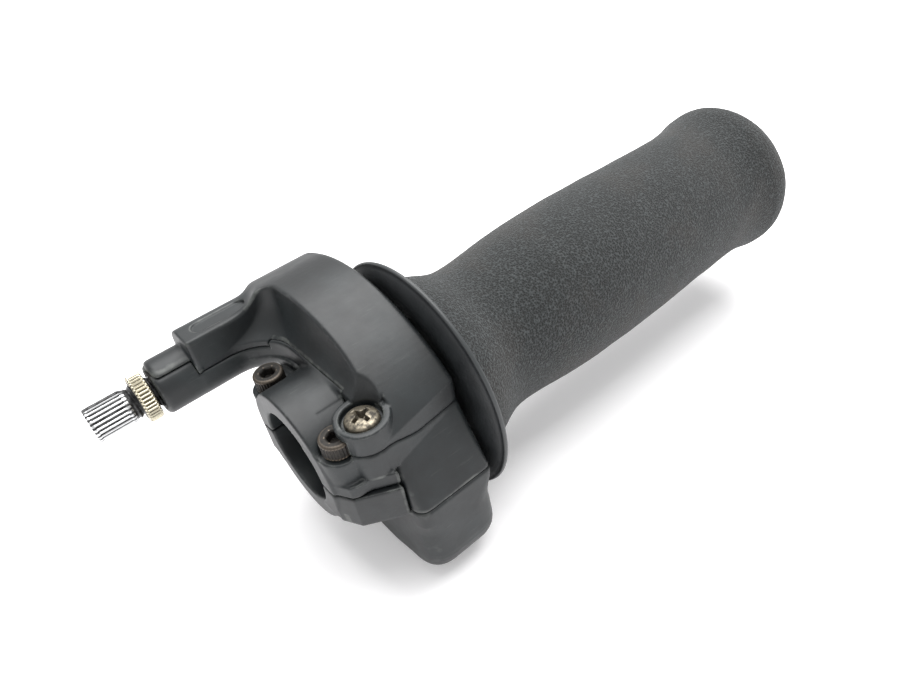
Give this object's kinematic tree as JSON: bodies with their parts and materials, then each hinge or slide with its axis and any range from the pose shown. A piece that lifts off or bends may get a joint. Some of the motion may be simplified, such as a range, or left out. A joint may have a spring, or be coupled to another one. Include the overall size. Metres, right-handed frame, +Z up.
{
  "type": "motorcycle throttle grip",
  "caption": "Twist throttle for a 22 mm handlebar: split clamp and drum case with a cable nose, screwed cable adjuster, flange disc and foam grip.",
  "frame": {"origin": "on the handlebar's axis, at the end face of the bar clamp", "axes": "+X along the bar towards the outer end of the grip, +Z up along the clamp screws, +Y ahead of the rider, the side of the cable nose"},
  "size_m": [0.1875, 0.0671, 0.0635],
  "materials": {
    "case_plastic": "satin",
    "tube_plastic": "satin",
    "disc_plastic": "satin",
    "grip_foam": "matte",
    "felt": "matte",
    "natural_nylon": "satin",
    "dark_steel": "satin",
    "nickel_steel": "satin",
    "zinc_steel": "satin",
    "plated_nut": "satin",
    "brass": "satin",
    "black_anodised": "satin"
  },
  "bodies": {
    "housing": {"lower_housing": "case_plastic", "middle_housing": "case_plastic", "cable_cover": "case_plastic", "cover_screw": "nickel_steel", "cover_screw_insert": "brass", "clamp_screws": "dark_steel", "clamp_nuts": "zinc_steel", "locating_pins": "zinc_steel", "nose_insert": "brass", "roller_pin": "zinc_steel", "inner_thrust_washer": "natural_nylon", "outer_thrust_washer": "natural_nylon", "dust_seal": "felt"},
    "twist_grip": {"twist_tube": "tube_plastic", "cable_drum": "natural_nylon", "drum_circlip": "zinc_steel", "flange_disc": "disc_plastic", "foam_grip": "grip_foam"},
    "roller": {"guide_roller": "natural_nylon"},
    "adjuster": {"cable_adjuster": "black_anodised"},
    "nut": {"lock_nut": "plated_nut"}
  },
  "joints": [
    {"name": "throttle_twist", "type": "hinge", "parent": "housing", "child": "twist_grip", "pos_m": [0.022, 0, 0], "axis": [1, 0, 0], "range_deg": [0, 75]},
    {"name": "roller_turn", "type": "hinge", "parent": "housing", "child": "roller", "pos_m": [0.0175, 0.0262, 0.0122], "axis": [0, 0, 1], "range_deg": [-300, 5]},
    {"name": "adjuster_travel", "type": "slide", "parent": "housing", "child": "adjuster", "axis": [1, 0, 0], "range_m": [-0.005, 0.0008]},
    {"name": "lock_nut_turn", "type": "hinge", "parent": "adjuster", "child": "nut", "pos_m": [-0.0185, 0.0307, 0.0122], "axis": [1, 0, 0], "continuous": true}
  ],
  "couplings": [
    {"joint": "roller_turn", "follows": "throttle_twist", "ratio": -3.6222}
  ]
}
